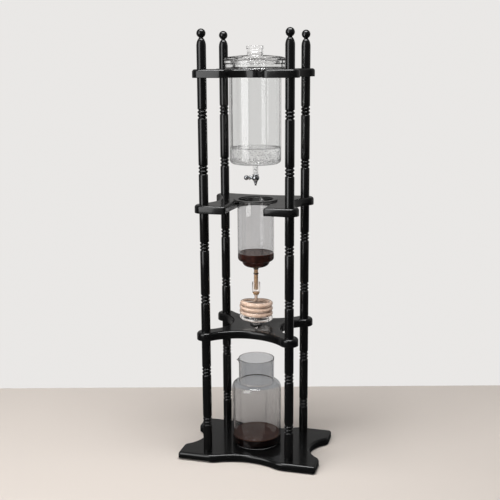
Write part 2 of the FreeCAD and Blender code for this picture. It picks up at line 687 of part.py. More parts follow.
def carafe():
    """A glass jug with a rounded shoulder, a wide neck and a beak-shaped spout on its left."""
    wall = CARAFE_WALL
    rim = BASE_TOP + CARAFE_HEIGHT
    lip_start = rim - CARAFE_LIP_HEIGHT
    floor = BASE_TOP + CARAFE_FLOOR
    foot = foot_corner(CARAFE_RADIUS, BASE_TOP, CARAFE_CORNER)
    outside = [(0, rim), (CARAFE_LIP_RADIUS, rim), (CARAFE_NECK_RADIUS, lip_start)]
    outside += shoulder(0)[::-1] + foot + [(0, BASE_TOP)]
    inside = [(0, rim + CUT_OVER), (CARAFE_LIP_RADIUS - wall, rim + CUT_OVER),
              (CARAFE_LIP_RADIUS - wall, rim), (CARAFE_NECK_RADIUS - wall, lip_start)]
    inside += shoulder(wall)[::-1]
    inside += [(CARAFE_RADIUS - wall, floor + CARAFE_CORNER), (CARAFE_RADIUS - wall - CARAFE_CORNER, floor),
               (0, floor)]
    return turned(outside).fuse(spout(0)).cut(turned(inside)).cut(spout(wall))


for storey, level in (("lower", BASE_TOP), ("middle", LOWER_TOP), ("upper", MIDDLE_TOP)):
    for corner, x, y in corners():
        save(storey + "_" + corner + "_post", [post_section(x, y, level)])
save("finials", [finial(x, y) for corner, x, y in corners()])
save("foot_pads", foot_pads())
save("base_plate", [base_plate()])
save("lower_shelf", [lower_shelf()])
save("middle_shelf", [middle_shelf()])
save("top_shelf", [top_shelf()])
save("water_vessel", [water_vessel()])
save("vessel_lid", [vessel_lid()])
save("tap_body", [tap_body()])
save("tap_gland", [tap_gland()])
save("tap_needle", [tap_needle()])
save("tap_knob", [tap_knob()])
save("drip_tip", [drip_tip()])
save("grounds_chamber", [grounds_chamber()])
save("filter_disc", [filter_disc()])
save("condenser_coil", [condenser_coil()])
save("coil_bell", [coil_bell()])
save("coil_outlet", [coil_outlet()])
save("coil_bush", [coil_bush()])
save("carafe", [carafe()])
print("least gap of the coil to itself", round(coil_self_gap(), 2), "mm")
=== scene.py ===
import math
import bmesh
import bpy
from mathutils import Matrix, Vector


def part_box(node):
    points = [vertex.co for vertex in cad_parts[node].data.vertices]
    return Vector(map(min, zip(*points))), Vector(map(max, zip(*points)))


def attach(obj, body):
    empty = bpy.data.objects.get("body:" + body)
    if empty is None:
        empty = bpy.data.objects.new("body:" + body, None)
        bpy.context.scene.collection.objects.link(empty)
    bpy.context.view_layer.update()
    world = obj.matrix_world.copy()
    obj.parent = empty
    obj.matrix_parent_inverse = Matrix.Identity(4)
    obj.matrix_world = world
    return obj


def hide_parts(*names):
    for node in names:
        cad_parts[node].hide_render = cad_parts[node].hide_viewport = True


# Cold drip coffee tower: a black lacquered stand of turned posts and shaped boards, clear and smoked
# glassware, a chromed needle tap and the water and coffee in them. Metres, the front faces -Y.

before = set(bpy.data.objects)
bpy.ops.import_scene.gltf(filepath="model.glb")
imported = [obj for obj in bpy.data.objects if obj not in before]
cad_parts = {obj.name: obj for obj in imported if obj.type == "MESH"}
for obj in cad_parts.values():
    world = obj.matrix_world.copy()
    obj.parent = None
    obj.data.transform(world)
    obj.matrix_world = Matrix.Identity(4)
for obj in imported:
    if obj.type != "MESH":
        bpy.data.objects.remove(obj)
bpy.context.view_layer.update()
MM = 0.001
SMOOTH_BELOW = math.radians(35)


# ---------------------------------------------------------------- stock and tools

def all_off():
    """Nothing is selected, so that the next operator acts on the new piece alone."""
    if bpy.context.object and bpy.context.object.mode != "OBJECT":
        bpy.ops.object.mode_set(mode="OBJECT")
    bpy.ops.object.select_all(action="DESELECT")


def point_stock(name, x, y, z):
    """A new piece of one point at (x, y, z) mm, left in edit mode."""
    all_off()
    bpy.ops.mesh.primitive_plane_add(size=MM)
    piece = bpy.context.object
    piece.name = name
    piece.data.name = name
    bpy.ops.object.mode_set(mode="EDIT")
    bpy.ops.mesh.select_mode(type="VERT")
    bpy.ops.mesh.merge(type="CENTER")
    bpy.ops.transform.translate(value=(x * MM, y * MM, z * MM))
    return piece


def draw(dx, dy, dz):
    """Extrude the chosen point by (dx, dy, dz) mm."""
    bpy.ops.mesh.extrude_region_move(TRANSFORM_OT_translate={"value": (dx * MM, dy * MM, dz * MM)})


def pick(piece, kind, wanted):
    """In edit mode, select the points, edges or faces for which wanted is true."""
    bpy.ops.mesh.select_mode(type=kind)
    bpy.ops.mesh.select_all(action="DESELECT")
    mesh = bmesh.from_edit_mesh(piece.data)
    found = {"VERT": mesh.verts, "EDGE": mesh.edges, "FACE": mesh.faces}[kind]
    for element in found:
        if wanted(element):
            element.select_set(True)
    mesh.select_flush_mode()
    bmesh.update_edit_mesh(piece.data)


def near(vertex, x, y, z):
    """Whether a mesh point lies at (x, y, z) mm."""
    return (vertex.co - Vector((x, y, z)) * MM).length < 2e-6


def turned(name, profile, steps=96, x=0.0, y=0.0, segments=5):
    """Turn a profile of (radius, height, rounding) in mm about the upright axis through x, y."""
    first = profile[0]
    piece = point_stock(name, first[0], 0, first[1])
    here = first
    for point in profile[1:]:
        draw(point[0] - here[0], 0, point[1] - here[1])
        here = point
    bpy.ops.mesh.select_all(action="SELECT")
    bpy.ops.mesh.remove_doubles(threshold=1e-6)
    for radius, height, rounding in profile:
        if rounding:
            pick(piece, "VERT", lambda v: near(v, radius, 0, height))
            bpy.ops.mesh.bevel(offset=rounding * MM, segments=segments, affect="VERTICES")
    bpy.ops.mesh.select_all(action="SELECT")
    bpy.ops.mesh.spin(steps=steps, angle=2 * math.pi, center=(0, 0, 0), axis=(0, 0, 1))
    bpy.ops.mesh.select_all(action="SELECT")
    bpy.ops.mesh.remove_doubles(threshold=1e-6)
    bpy.ops.mesh.normals_make_consistent(inside=False)
    bpy.ops.transform.translate(value=(x * MM, y * MM, 0))
    bpy.ops.object.mode_set(mode="OBJECT")
    bpy.ops.object.shade_smooth_by_angle(angle=SMOOTH_BELOW)
    return piece


def copy_to(piece, name, x, y, z):
    """A copy of a finished piece with its own mesh, moved by (x, y, z) mm."""
    all_off()
    piece.select_set(True)
    bpy.context.view_layer.objects.active = piece
    bpy.ops.object.duplicate()
    twin = bpy.context.object
    twin.name = name
    twin.data.name = name
    twin.location = (x * MM, y * MM, z * MM)
    bpy.ops.object.transform_apply(location=True)
    return twin


def level(node, end):
    """Lowest (0) or highest (1) level of a CAD node, in mm."""
    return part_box(node)[end].z / MM


def fit(piece, body, slot, finish, *nodes):
    """Finish a piece: its body, its finish and the CAD nodes that it stands for. The slot argument is not
    used.
    """
    piece.data.materials.clear()
    piece.data.materials.append(finish)
    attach(piece, body)
    if nodes:
        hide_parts(*nodes)
    return piece


# ---------------------------------------------------------------- finishes

def new_finish(name):
    """An empty node material and its Principled shader."""
    finish = bpy.data.materials.new(name)
    finish.use_nodes = True
    shader = finish.node_tree.nodes["Principled BSDF"]
    return finish, finish.node_tree, shader


def node(tree, kind, **values):
    """A node with its settings and socket values."""
    made = tree.nodes.new(kind)
    for key, value in values.items():
        if key in made.inputs:
            made.inputs[key].default_value = value
        else:
            setattr(made, key, value)
    return made


def feed(tree, socket, value):
    """Give a socket a plain number, a colour, or another node's output."""
    if isinstance(value, bpy.types.NodeSocket):
        tree.links.new(value, socket)
    else:
        socket.default_value = value


def reckon(tree, operation, first, second, clamp=False):
    """The output of a sum on two numbers or outputs."""
    made = node(tree, "ShaderNodeMath", operation=operation, use_clamp=clamp)
    feed(tree, made.inputs[0], first)
    feed(tree, made.inputs[1], second)
    return made.outputs[0]


def mixed(tree, share, first, second):
    """The colour between two colours, by a share from 0 to 1."""
    made = node(tree, "ShaderNodeMix", data_type="RGBA")
    for index, value in ((0, share), (6, first), (7, second)):
        feed(tree, made.inputs[index], value)
    return made.outputs[2]


def two_tone(tree, value, dark, light, low=0.0, high=1.0):
    """The colour that goes from dark to light as a value rises from low to high."""
    tone = node(tree, "ShaderNodeValToRGB")
    for stop, place, colour in zip(tone.color_ramp.elements, (low, high), (dark, light)):
        stop.position = place
        stop.color = (*colour, 1)
    tree.links.new(value, tone.inputs["Fac"])
    return tone.outputs["Color"]


def object_place(tree):
    """A point's place on the tower."""
    return node(tree, "ShaderNodeTexCoord").outputs["Object"]


def share_above(tree, low, high):
    """A share that rises from 0 to 1 between two levels in mm."""
    parts = node(tree, "ShaderNodeSeparateXYZ")
    tree.links.new(object_place(tree), parts.inputs["Vector"])
    height = node(tree, "ShaderNodeMapRange")
    height.inputs["From Min"].default_value = low * MM
    height.inputs["From Max"].default_value = high * MM
    tree.links.new(parts.outputs["Z"], height.inputs["Value"])
    return height.outputs["Result"]


def marks_group():
    """Faint wipe marks and dust: a mask for roughness and a height for a bump."""
    group = bpy.data.node_groups.new("wipe marks", "ShaderNodeTree")
    face = group.interface
    for label, low in (("Scale", 40.0), ("Least", 0.05), ("Most", 0.12)):
        socket = face.new_socket(label, in_out="INPUT", socket_type="NodeSocketFloat")
        socket.default_value = low
    face.new_socket("Roughness", in_out="OUTPUT", socket_type="NodeSocketFloat")
    face.new_socket("Height", in_out="OUTPUT", socket_type="NodeSocketFloat")
    start = group.nodes.new("NodeGroupInput")
    end = group.nodes.new("NodeGroupOutput")
    place = group.nodes.new("ShaderNodeTexCoord")
    cloud = group.nodes.new("ShaderNodeTexNoise")
    cloud.inputs["Detail"].default_value = 6.0
    cloud.inputs["Roughness"].default_value = 0.65
    group.links.new(place.outputs["Object"], cloud.inputs["Vector"])
    group.links.new(start.outputs["Scale"], cloud.inputs["Scale"])
    spread = group.nodes.new("ShaderNodeMapRange")
    spread.inputs["From Min"].default_value = 0.35
    spread.inputs["From Max"].default_value = 0.65
    group.links.new(cloud.outputs["Fac"], spread.inputs["Value"])
    group.links.new(start.outputs["Least"], spread.inputs["To Min"])
    group.links.new(start.outputs["Most"], spread.inputs["To Max"])
    group.links.new(spread.outputs["Result"], end.inputs["Roughness"])
    group.links.new(cloud.outputs["Fac"], end.inputs["Height"])
    return group


WIPE_MARKS = marks_group()


def marked(tree, shader, scale, least, most, bump, distance):
    """Put wipe marks on a finish: roughness between least and most, and a slight bump."""
    marks = tree.nodes.new("ShaderNodeGroup")
    marks.node_tree = WIPE_MARKS
    marks.inputs["Scale"].default_value = scale
    marks.inputs["Least"].default_value = least
    marks.inputs["Most"].default_value = most
    tree.links.new(marks.outputs["Roughness"], shader.inputs["Roughness"])
    relief = node(tree, "ShaderNodeBump", Strength=bump, Distance=distance)
    tree.links.new(marks.outputs["Height"], relief.inputs["Height"])
    tree.links.new(relief.outputs["Normal"], shader.inputs["Normal"])
    return relief


def lacquered_wood(name, along):
    """Black lacquer over close-grained wood, whose grain runs along axis 0 (X) or 2 (Z)."""
    finish, tree, shader = new_finish(name)
    stretch = node(tree, "ShaderNodeMapping")
    stretch.inputs["Scale"].default_value = (6, 160, 160) if along == 0 else (160, 160, 6)
    tree.links.new(object_place(tree), stretch.inputs["Vector"])
    grain = node(tree, "ShaderNodeTexNoise", Scale=1.0, Detail=5.0, Roughness=0.6, Distortion=0.3)
    tree.links.new(stretch.outputs["Vector"], grain.inputs["Vector"])
    feed(tree, shader.inputs["Base Color"], two_tone(tree, grain.outputs["Fac"], (0.0020, 0.0020, 0.0022),
                                                     (0.0052, 0.0050, 0.0050), 0.3, 0.75))
    relief = marked(tree, shader, 18.0, 0.22, 0.27, 0.008, 0.0002)
    pores = node(tree, "ShaderNodeBump", Strength=0.01, Distance=0.0001)
    tree.links.new(grain.outputs["Fac"], pores.inputs["Height"])
    tree.links.new(pores.outputs["Normal"], relief.inputs["Normal"])
    shader.inputs["Specular IOR Level"].default_value = 0.22
    shader.inputs["Coat Weight"].default_value = 0.5
    shader.inputs["Coat Roughness"].default_value = 0.09
    shader.inputs["Coat IOR"].default_value = 1.5
    return finish


def blown_glass(name, tint, least, most, ripple, index=1.47, painted_shade_above=None):
    """Glass with a body tint, a slight ripple and wipe marks; above a level in mm, where given, the tint
    turns near black, painted shade on the lip.
    """
    finish, tree, shader = new_finish(name)
    shader.inputs["Base Color"].default_value = (*tint, 1)
    shader.inputs["Transmission Weight"].default_value = 1.0
    shader.inputs["IOR"].default_value = index
    if painted_shade_above:
        # Painted shade: from 1 mm below the given level upwards the tint turns near black.
        lip = mixed(tree, share_above(tree, painted_shade_above - 1.0, painted_shade_above), (*tint, 1), (0.03, 0.03, 0.03, 1))
        feed(tree, shader.inputs["Base Color"], lip)
    marked(tree, shader, 22.0, least, most, ripple, 0.0005)
    path = node(tree, "ShaderNodeLightPath")
    lit = node(tree, "ShaderNodeMapRange")
    lit.inputs["To Min"].default_value = 1.0
    lit.inputs["To Max"].default_value = 0.15
    tree.links.new(path.outputs["Is Shadow Ray"], lit.inputs["Value"])
    tree.links.new(lit.outputs["Result"], shader.inputs["Alpha"])
    return finish


def chromed_brass(name):
    """Polished chrome plating."""
    finish, tree, shader = new_finish(name)
    shader.inputs["Base Color"].default_value = (0.46, 0.47, 0.49, 1)
    shader.inputs["Metallic"].default_value = 1.0
    marked(tree, shader, 260.0, 0.05, 0.13, 0.05, 0.0002)
    return finish


def still_water(name):
    """Water with the fine sparkle of small bubbles against the glass."""
    finish, tree, shader = new_finish(name)
    bubbles = node(tree, "ShaderNodeTexVoronoi", Scale=210.0, Randomness=1.0)
    tree.links.new(object_place(tree), bubbles.inputs["Vector"])
    feed(tree, shader.inputs["Base Color"], two_tone(tree, bubbles.outputs["Distance"], (0.40, 0.41, 0.42),
                                                     (0.98, 0.98, 0.98), 0.26, 0.42))
    relief = node(tree, "ShaderNodeBump", Strength=0.7, Distance=0.0016)
    tree.links.new(bubbles.outputs["Distance"], relief.inputs["Height"])
    tree.links.new(relief.outputs["Normal"], shader.inputs["Normal"])
    shader.inputs["Transmission Weight"].default_value = 1.0
    shader.inputs["IOR"].default_value = 1.33
    shader.inputs["Roughness"].default_value = 0.06
    return finish


def coffee(name, dark, light, patch, surface=None):
    """Brewed coffee with slow lighter clouds; where a surface level is given, the coffee below it is painted
    near black and only the top and a thin band under the surface keep the lighter tone, painted light at the
    surface.
    """
    finish, tree, shader = new_finish(name)
    clouds = node(tree, "ShaderNodeTexNoise", Scale=patch, Detail=3.0)
    tree.links.new(object_place(tree), clouds.inputs["Vector"])
    tone = two_tone(tree, clouds.outputs["Fac"], dark, light, 0.35, 0.7)
    if surface:
        # Painted light and shade: near black up to 2.5 mm under the surface, the lighter brown tone over the
        # top 0.3 mm and the top face.
        tone = mixed(tree, share_above(tree, surface - 2.5, surface - 0.3), (0.004, 0.0016, 0.0012, 1), tone)
    feed(tree, shader.inputs["Base Color"], tone)
    marked(tree, shader, 30.0, 0.18, 0.28, 0.02, 0.0005)
    shader.inputs["Specular IOR Level"].default_value = 0.12
    shader.inputs["IOR"].default_value = 1.34
    return finish


def matte(name, dark, light, scale, rough):
    """A plain dull finish with a fine grain, for pads, the bush and the filter."""
    finish, tree, shader = new_finish(name)
    grain = node(tree, "ShaderNodeTexNoise", Scale=scale, Detail=8.0)
    tree.links.new(object_place(tree), grain.inputs["Vector"])
    feed(tree, shader.inputs["Base Color"], two_tone(tree, grain.outputs["Fac"], dark, light))
    relief = node(tree, "ShaderNodeBump", Strength=0.3, Distance=0.0003)
    tree.links.new(grain.outputs["Fac"], relief.inputs["Height"])
    tree.links.new(relief.outputs["Normal"], shader.inputs["Normal"])
    shader.inputs["Roughness"].default_value = rough
    return finish


POST_WOOD = lacquered_wood("lacquered wood, grain upright", 2)
BOARD_WOOD = lacquered_wood("lacquered wood, grain across", 0)
VESSEL_GLASS = blown_glass("clear glass", (0.885, 0.89, 0.89), 0.0, 0.015, 0.02)
LID_GLASS = blown_glass("lid glass", (0.97, 0.97, 0.97), 0.0, 0.015, 0.02, 1.42)
# The chamber's flange above the middle shelf is painted near black, painted shade on its lip.
CHAMBER_GLASS = blown_glass("grey glass", (0.76, 0.76, 0.765), 0.0, 0.02, 0.03, 1.47,
                            level("middle_shelf", 1) + 1.0)
CARAFE_GLASS = blown_glass("smoked glass", (0.575, 0.585, 0.60), 0.0, 0.02, 0.04)
COIL_GLASS = blown_glass("coil glass", (0.96, 0.93, 0.91), 0.0, 0.03, 0.03)
CHROME = chromed_brass("chrome plating")
WATER = still_water("water")
DARK_COFFEE = coffee("coffee over the grounds", (0.016, 0.005, 0.0035), (0.046, 0.013, 0.009), 60.0)
# The carafe's coffee carries painted shade below its surface and painted light at the surface.
BREW = coffee("brewed coffee", (0.046, 0.021, 0.014), (0.068, 0.032, 0.022), 25.0, 52.0)
THREAD = coffee("coffee in the tube", (0.58, 0.43, 0.34), (0.78, 0.64, 0.54), 90.0)
AMBER = coffee("coffee in the stem", (0.44, 0.27, 0.14), (0.62, 0.42, 0.26), 120.0)
RUBBER = matte("black rubber", (0.010, 0.010, 0.010), (0.022, 0.022, 0.022), 900.0, 0.7)
SILICONE = matte("dark silicone", (0.016, 0.016, 0.017), (0.03, 0.03, 0.032), 600.0, 0.5)
FILTER = matte("porous ceramic", (0.60, 0.56, 0.48), (0.80, 0.76, 0.68), 700.0, 0.9)


# ---------------------------------------------------------------- stand

POST_X = 117.5
POST_Y = 99.0
POST_R = 12.5
PLACES = {"front_left": (-POST_X, -POST_Y), "front_right": (POST_X, -POST_Y),
          "back_left": (-POST_X, POST_Y), "back_right": (POST_X, POST_Y)}
BASE_TOP = level("base_plate", 1)
LOWER_TOP = level("lower_shelf", 1)
MIDDLE_TOP = level("middle_shelf", 1)
TOP_TOP = level("top_shelf", 1)


def post_profile(bottom, top):
    """A section with two groups of three grooves, and two beads between them in each group."""
    profile = [(0, bottom, 0), (POST_R, bottom, 0)]
    pitch = 9.6
    for centre in (bottom + 92.8, top - 92.8):
        low = centre - 1.5 * pitch
        for groove in range(3):
            mid = low + (groove + 0.5) * pitch
            profile += [(POST_R, mid - 2.9, 1.7), (POST_R - 3.0, mid - 0.7, 0.5),
                        (POST_R - 3.0, mid + 0.7, 0.5), (POST_R, mid + 2.9, 1.7)]
    return profile + [(POST_R, top, 0), (0, top, 0)]


def stand_posts():
    """Twelve turned sections: one is turned, and copied to every corner and storey."""
    bottom = level("lower_front_left_post", 0)
    top = level("lower_front_left_post", 1)
    x, y = PLACES["front_left"]
    first = turned("lower_front_left_post_turned", post_profile(bottom, top), 48, x, y, 3)
    for storey in ("lower", "middle", "upper"):
        for corner, (cx, cy) in PLACES.items():
            name = storey + "_" + corner + "_post"
            rise = level(name, 0) - bottom
            section = first if name == "lower_front_left_post" else copy_to(
                first, name + "_turned", cx - x, cy - y, rise)
            fit(section, "stand", "black_wood", POST_WOOD, name)


def finials():
    """Four finials: a shank that rounds in to a neck under a ball."""
    neck = TOP_TOP + 80.0
    ball = 11.9
    neck_r = 5.2
    centre = neck + math.sqrt(ball ** 2 - neck_r ** 2)
    profile = [(0, TOP_TOP, 0), (POST_R, TOP_TOP, 0), (POST_R, TOP_TOP + 64.5, 5.0),
               (9.4, TOP_TOP + 74.0, 3.0), (neck_r + 0.2, neck - 1.0, 1.0)]
    first = -math.acos(neck_r / ball)
    for i in range(19):
        angle = first + (math.pi / 2 - first) * i / 18
        profile.append((max(0.0, ball * math.cos(angle)), centre + ball * math.sin(angle), 0))
    x, y = PLACES["front_left"]
    one = turned("front_left_finial", profile, 48, x, y, 6)
    for corner, (cx, cy) in PLACES.items():
        piece = one if corner == "front_left" else copy_to(one, corner + "_finial", cx - x, cy - y, 0)
        fit(piece, "stand", "black_wood", POST_WOOD, "finials")


def arc_to(cx, cy, degrees, steps):
    """Carry the chosen outline point round (cx, cy) mm by some degrees."""
    bpy.ops.mesh.spin(steps=steps, angle=math.radians(-degrees), center=(cx * MM, cy * MM, 0),
                      axis=(0, 0, 1))


def board_from_outline(piece, bottom, top, edge, foot_edge, corners=()):
    """Fill a closed outline, raise it to a board and round its rims and the upright edges at corners."""
    bpy.ops.mesh.select_all(action="SELECT")
    bpy.ops.mesh.remove_doubles(threshold=1e-5)
    bpy.ops.mesh.select_all(action="SELECT")
    bpy.ops.mesh.edge_face_add()
    draw(0, 0, top - bottom)
    bpy.ops.mesh.select_all(action="SELECT")
    bpy.ops.mesh.normals_make_consistent(inside=False)
    for height, amount in ((top, edge), (bottom, foot_edge)):
        pick(piece, "EDGE", lambda e: all(abs(v.co.z - height * MM) < 1e-6 for v in e.verts) or
             height == top and any(math.dist(v.co.xy, (x * MM, y * MM)) < 2e-6 for v in e.verts[:1]
                                   for x, y in corners))
        bpy.ops.mesh.bevel(offset=amount * MM, segments=6, affect="EDGES", profile=0.5)
    bpy.ops.mesh.select_all(action="SELECT")
    bpy.ops.mesh.remove_doubles(threshold=3e-5)
    for height in (top, bottom):
        pick(piece, "FACE", lambda f: len(f.verts) > 12 and
             abs(f.calc_center_median().z - height * MM) < 1e-5)
        bpy.ops.mesh.inset(thickness=0.6 * MM)
    bpy.ops.object.mode_set(mode="OBJECT")
    bpy.ops.object.shade_smooth_by_angle(angle=SMOOTH_BELOW)
    return piece


def bored(piece, radius, bottom, top, rounding):
    """Cut a round hole through a board and ease its upper rim."""
    all_off()
    bpy.ops.mesh.primitive_cylinder_add(vertices=128, radius=radius * MM, depth=(top - bottom + 20) * MM,
                                        location=(0, 0, (top + bottom) / 2 * MM))
    drill = bpy.context.object
    all_off()
    piece.select_set(True)
    bpy.context.view_layer.objects.active = piece
    cut = piece.modifiers.new("bore", "BOOLEAN")
    cut.object = drill
    cut.operation = "DIFFERENCE"
    cut.solver = "EXACT"
    bpy.ops.object.modifier_apply(modifier="bore")
    bpy.data.objects.remove(drill)
    bpy.ops.object.mode_set(mode="EDIT")
    for height in (top, bottom):
        pick(piece, "EDGE", lambda e: all(abs(v.co.z - height * MM) < 1e-6 and
                                          abs(v.co.xy.length - radius * MM) < 1e-5 for v in e.verts))
        bpy.ops.mesh.bevel(offset=rounding * MM, segments=4, affect="EDGES")
    bpy.ops.object.mode_set(mode="OBJECT")
    bpy.ops.object.shade_smooth_by_angle(angle=SMOOTH_BELOW)


def three_point(ax, ay, bx, by, cx, cy):
    """Centre of the circle through three points."""
    d = 2 * (ax * (by - cy) + bx * (cy - ay) + cx * (ay - by))
    ux = ((ax * ax + ay * ay) * (by - cy) + (bx * bx + by * by) * (cy - ay)
          + (cx * cx + cy * cy) * (ay - by)) / d
    uy = ((ax * ax + ay * ay) * (cx - bx) + (bx * bx + by * by) * (ax - cx)
          + (cx * cx + cy * cy) * (bx - ax)) / d
    return ux, uy


def arc_through(ax, ay, bx, by, cx, cy, steps):
    """Carry the chosen outline point from a through b to c."""
    ux, uy = three_point(ax, ay, bx, by, cx, cy)
    start = math.atan2(ay - uy, ax - ux)
    middle = math.atan2(by - uy, bx - ux)
    end = math.atan2(cy - uy, cx - ux)
    sweep = (end - start) % (2 * math.pi)
    if (middle - start) % (2 * math.pi) > sweep:
        sweep -= 2 * math.pi
    arc_to(ux, uy, math.degrees(sweep), steps)


def close_outline(name, start, z, moves):
    """Draw an outline of straight runs and arcs from start; each move is the points it goes through."""
    piece = point_stock(name, start[0], start[1], z)
    here = start
    for move in moves:
        end = move[-1]
        if len(move) == 1:
            draw(end[0] - here[0], end[1] - here[1], 0)
        else:
            arc_through(*here, *move[0], *end, move_steps(here, *move))
        here = end
    bpy.ops.mesh.select_all(action="SELECT")
    bpy.ops.mesh.remove_doubles(threshold=1e-5)
    return piece


def move_steps(start, middle, end):
    """Steps for an arc, one every 3 mm or so, and at least twelve."""
    chord = math.dist(start, middle) + math.dist(middle, end)
    return max(12, min(64, int(chord / 3)))


def blend(centre, radius, corner, inward, along, rounding):
    """Where a blend leaves a straight edge, its middle, and where it runs into a hollow's arc."""
    start = (corner[0] + inward[0] * rounding - centre[0], corner[1] + inward[1] * rounding - centre[1])
    reach = start[0] * along[0] + start[1] * along[1]
    back = -reach - math.sqrt(reach ** 2 - start[0] ** 2 - start[1] ** 2 + (radius + rounding) ** 2)
    middle = (centre[0] + start[0] + along[0] * back, centre[1] + start[1] + along[1] * back)
    share = radius / (radius + rounding)
    meets = (centre[0] + (middle[0] - centre[0]) * share, centre[1] + (middle[1] - centre[1]) * share)
    leaves = (middle[0] - inward[0] * rounding, middle[1] - inward[1] * rounding)
    way = Vector(((meets[0] + leaves[0]) / 2 - middle[0], (meets[1] + leaves[1]) / 2 - middle[1]))
    way.normalize()
    return leaves, (middle[0] + way.x * rounding, middle[1] + way.y * rounding), meets


def hollow_moves(first, deepest, last, inward, rounding):
    """The start and the moves of a hollow whose two ends blend into a straight edge."""
    centre = three_point(*first, *deepest, *last)
    radius = math.dist(centre, first)
    size = math.dist(first, last)
    along = ((last[0] - first[0]) / size, (last[1] - first[1]) / size)
    one = blend(centre, radius, first, inward, along, rounding)
    two = blend(centre, radius, last, inward, (-along[0], -along[1]), rounding)
    return one[0], [(one[1], one[2]), (deepest, two[2]), (two[1], two[0])]


LOBE = 25.0
FRONT_Y = -POST_Y - LOBE
FRONT_RUN_END = 51.0
SLOT_R = 51.5
VESSEL_HOLE_R = 71.5
BUSH_HOLE_R = 13.0
BASE_EDGE = 7.5
SHELF_EDGE = 7.0
SHELF_FOOT_EDGE = 1.2


def hollow_between(first, second, outward, hollow):
    """Start, deepest point and end of the arc that hollows a board between two lobes."""
    half = math.dist(first, second) / 2
    sink = hollow - LOBE
    radius = (half ** 2 - LOBE ** 2 + sink ** 2) / (2 * (LOBE + sink))
    centre = ((first[0] + second[0]) / 2 + outward[0] * (radius - sink),
              (first[1] + second[1]) / 2 + outward[1] * (radius - sink))
    ends = []
    for lobe in (first, second):
        reach = math.dist(centre, lobe)
        ends.append((lobe[0] + (centre[0] - lobe[0]) * LOBE / reach,
                     lobe[1] + (centre[1] - lobe[1]) * LOBE / reach))
    deepest = (centre[0] - outward[0] * radius, centre[1] - outward[1] * radius)
    return ends[0], deepest, ends[1]


def round_lobe(centre, end, outward):
    """The move round a lobe to its end, over its outward side."""
    size = math.hypot(*outward)
    return ((centre[0] + outward[0] / size * LOBE, centre[1] + outward[1] / size * LOBE), end)


def base_board():
    """The base, whose hollows run out into its broad corners in soft curves."""
    bottom = level("base_plate", 0)
    bx, by, fx, sy, deep_x, deep_y = 198.0, 130.0, 94.0, 66.0, 160.0, 104.0
    start, front = hollow_moves((-fx, -by), (0, -deep_y), (fx, -by), (0, 1), 55.0)
    right, right_moves = hollow_moves((bx, -sy), (deep_x, 0), (bx, sy), (-1, 0), 20.0)
    back, back_moves = hollow_moves((fx, by), (0, deep_y), (-fx, by), (0, -1), 55.0)
    left, left_moves = hollow_moves((-bx, sy), (-deep_x, 0), (-bx, -sy), (1, 0), 20.0)
    piece = close_outline("base_board", start, bottom, front + [((bx, -by),), (right,)] + right_moves +
                          [((bx, by),), (back,)] + back_moves + [((-bx, by),), (left,)] + left_moves +
                          [((-bx, -by),), (start,)])
    tips = [(sx * bx, s * by) for sx in (-1, 1) for s in (-1, 1)]
    fit(board_from_outline(piece, bottom, BASE_TOP, BASE_EDGE, 0.8, tips), "stand", "black_wood",
        BOARD_WOOD, "base_plate")


def star_board():
    """The coil's shelf: four lobes round the posts, hollowed between them on every side."""
    bottom = level("lower_shelf", 0)
    lobes = [(-POST_X, -POST_Y), (POST_X, -POST_Y), (POST_X, POST_Y), (-POST_X, POST_Y)]
    outwards = [(0, -1), (1, 0), (0, 1), (-1, 0)]
    hollows = [hollow_between(lobes[i], lobes[(i + 1) % 4], outwards[i], (52.0, 69.5)[i % 2])
               for i in range(4)]
    moves = []
    for i in range(4):
        after = (i + 1) % 4
        moves.append(hollows[i][1:])
        moves.append(round_lobe(lobes[after], hollows[after][0],
                                (lobes[after][0] / POST_X, lobes[after][1] / POST_Y)))
    piece = close_outline("lower_board", hollows[0][0], bottom, moves)
    board_from_outline(piece, bottom, LOWER_TOP, SHELF_EDGE, SHELF_FOOT_EDGE)
    bored(piece, BUSH_HOLE_R, bottom, LOWER_TOP, 0.5)
    fit(piece, "stand", "black_wood", BOARD_WOOD, "lower_shelf")


def block_board(name, bottom, front_start, front_moves):
    """Lobes round the posts, straight runs along the front, and hollows at the sides and back."""
    right = hollow_between((POST_X, -POST_Y), (POST_X, POST_Y), (1, 0), 39.5)
    back = hollow_between((POST_X, POST_Y), (-POST_X, POST_Y), (0, 1), 12.0)
    left = hollow_between((-POST_X, POST_Y), (-POST_X, -POST_Y), (-1, 0), 39.5)
    touch_right, touch_left = (POST_X, FRONT_Y), (-POST_X, FRONT_Y)
    right_way = ((touch_right[0] + right[0][0]) / 2 - POST_X, (touch_right[1] + right[0][1]) / 2 + POST_Y)
    left_way = ((touch_left[0] + left[2][0]) / 2 + POST_X, (touch_left[1] + left[2][1]) / 2 + POST_Y)
    return close_outline(name, (-front_start[0], FRONT_Y), bottom, [
        (touch_right,),
        round_lobe((POST_X, -POST_Y), right[0], right_way), right[1:],
        round_lobe((POST_X, POST_Y), back[0], (1, 1)), back[1:],
        round_lobe((-POST_X, POST_Y), left[0], (-1, 1)), left[1:],
        round_lobe((-POST_X, -POST_Y), touch_left, left_way),
        (front_start,)] + front_moves)


def middle_board():
    """The chamber's shelf, with a slot open to the front and round at its end."""
    bottom = level("middle_shelf", 0)
    tips = [(-FRONT_RUN_END, FRONT_Y), (FRONT_RUN_END, FRONT_Y)]
    piece = block_board("middle_board", bottom, tips[0], [
        ((-SLOT_R, 0),), ((0, SLOT_R), (SLOT_R, 0)), (tips[1],)])
    board_from_outline(piece, bottom, MIDDLE_TOP, SHELF_EDGE, SHELF_FOOT_EDGE, tips)
    fit(piece, "stand", "black_wood", BOARD_WOOD, "middle_shelf")


